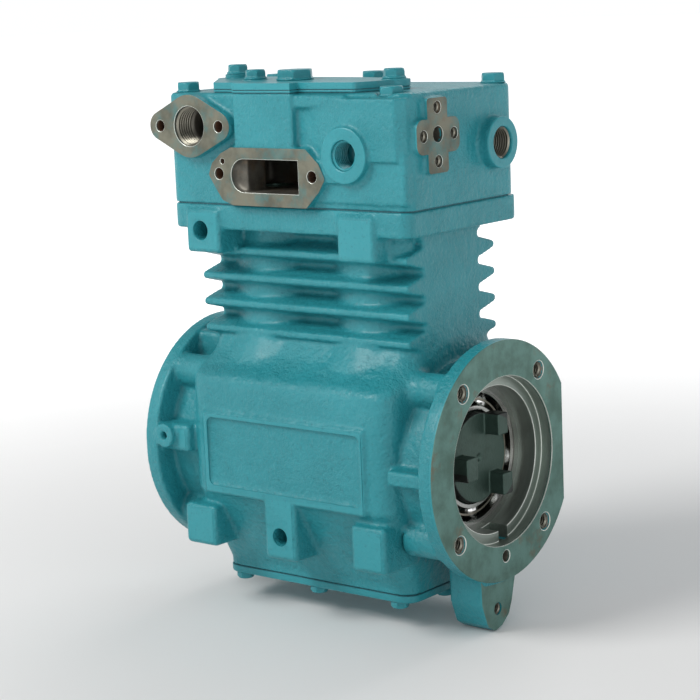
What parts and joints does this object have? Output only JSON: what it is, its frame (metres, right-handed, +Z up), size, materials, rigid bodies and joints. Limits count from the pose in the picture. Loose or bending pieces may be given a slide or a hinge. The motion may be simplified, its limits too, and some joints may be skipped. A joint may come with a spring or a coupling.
{
  "type": "reciprocating air compressor",
  "caption": "Engine-driven reciprocating air compressor with in-line finned cylinders, ported head, round drive and pump flanges and a lugged crankshaft end.",
  "frame": {"origin": "centre of the pump pilot bore, on the pump flange's face, where the crankshaft axis meets it", "axes": "+X along the crankshaft and out of the pump flange, +Z up along the cylinders, ports and panel face -Y"},
  "size_m": [0.3, 0.1657, 0.3704],
  "materials": {
    "teal_enamel": "semi-gloss enamel over a sand-cast skin; machined faces are bare iron",
    "gasket_fibre": "compressed fibre, overpainted at its edge",
    "forged_steel": "machined forging, oiled",
    "bearing_steel": "ground and polished",
    "spring_steel": "bright",
    "pressed_steel": "pressed, oiled",
    "bronze": "bored bronze",
    "piston_alloy": "turned",
    "cast_iron_bare": "ground"
  },
  "bodies": {
    "housing": {"crankcase_block": "teal_enamel", "base_cover": "teal_enamel", "base_gasket": "gasket_fibre", "base_bolts": "teal_enamel", "head_gasket": "gasket_fibre", "cylinder_head": "teal_enamel", "head_bolts": "teal_enamel", "cover_gasket_lower": "gasket_fibre", "cover_spacer_plate": "teal_enamel", "cover_gasket_upper": "gasket_fibre", "head_cover": "teal_enamel", "cover_bolts": "teal_enamel", "hex_cap": "teal_enamel", "drive_bush": "bronze", "bearing_outer_race": "bearing_steel", "retaining_ring": "spring_steel", "inlet_valve_seat_1": "forged_steel", "inlet_valve_stop_1": "forged_steel", "discharge_valve_seat_1": "forged_steel", "discharge_valve_stop_1": "forged_steel", "inlet_valve_seat_2": "forged_steel", "inlet_valve_stop_2": "forged_steel", "discharge_valve_seat_2": "forged_steel", "discharge_valve_stop_2": "forged_steel"},
    "crankshaft": {"crank_drive_end": "forged_steel", "crank_centre_web": "forged_steel", "crank_pump_end": "forged_steel", "drive_key": "forged_steel", "crank_nut": "forged_steel", "bearing_inner_race": "bearing_steel"},
    "ball_cage": {"bearing_balls": "bearing_steel", "bearing_cage": "pressed_steel"},
    "running_gear_1": {"crankpin_1": "bearing_steel", "connecting_rod_1": "forged_steel", "rod_cap_1": "forged_steel", "rod_bolts_1": "spring_steel", "rod_bearing_shells_1": "bronze", "wrist_pin_1": "bearing_steel", "piston_1": "piston_alloy", "piston_rings_1": "cast_iron_bare"},
    "running_gear_2": {"crankpin_2": "bearing_steel", "connecting_rod_2": "forged_steel", "rod_cap_2": "forged_steel", "rod_bolts_2": "spring_steel", "rod_bearing_shells_2": "bronze", "wrist_pin_2": "bearing_steel", "piston_2": "piston_alloy", "piston_rings_2": "cast_iron_bare"},
    "inlet_disc_1": {"inlet_valve_disc_1": "spring_steel"},
    "discharge_disc_1": {"discharge_valve_disc_1": "spring_steel"},
    "inlet_disc_2": {"inlet_valve_disc_2": "spring_steel"},
    "discharge_disc_2": {"discharge_valve_disc_2": "spring_steel"}
  },
  "joints": [
    {"name": "crank_spin", "type": "hinge", "parent": "housing", "child": "crankshaft", "pos_m": [0, 0, 0], "axis": [1, 0, 0], "continuous": true},
    {"name": "cage_spin", "type": "hinge", "parent": "housing", "child": "ball_cage", "pos_m": [0, 0, 0], "axis": [1, 0, 0], "continuous": true},
    {"name": "piston_1_stroke", "type": "slide", "parent": "housing", "child": "running_gear_1", "axis": [0, 0, 1], "range_m": [-0.048, 0]},
    {"name": "piston_2_stroke", "type": "slide", "parent": "housing", "child": "running_gear_2", "axis": [0, 0, 1], "range_m": [0, 0.048]},
    {"name": "inlet_disc_1_lift", "type": "slide", "parent": "housing", "child": "inlet_disc_1", "axis": [0, 0, 1], "range_m": [-0.0015, 0]},
    {"name": "discharge_disc_1_lift", "type": "slide", "parent": "housing", "child": "discharge_disc_1", "axis": [0, 0, 1], "range_m": [0, 0.0015]},
    {"name": "inlet_disc_2_lift", "type": "slide", "parent": "housing", "child": "inlet_disc_2", "axis": [0, 0, 1], "range_m": [-0.0015, 0]},
    {"name": "discharge_disc_2_lift", "type": "slide", "parent": "housing", "child": "discharge_disc_2", "axis": [0, 0, 1], "range_m": [0, 0.0015]}
  ],
  "couplings": [
    {"joint": "cage_spin", "follows": "crank_spin", "ratio": 0.418},
    {"joint": "piston_2_stroke", "follows": "piston_1_stroke", "ratio": -1}
  ]
}
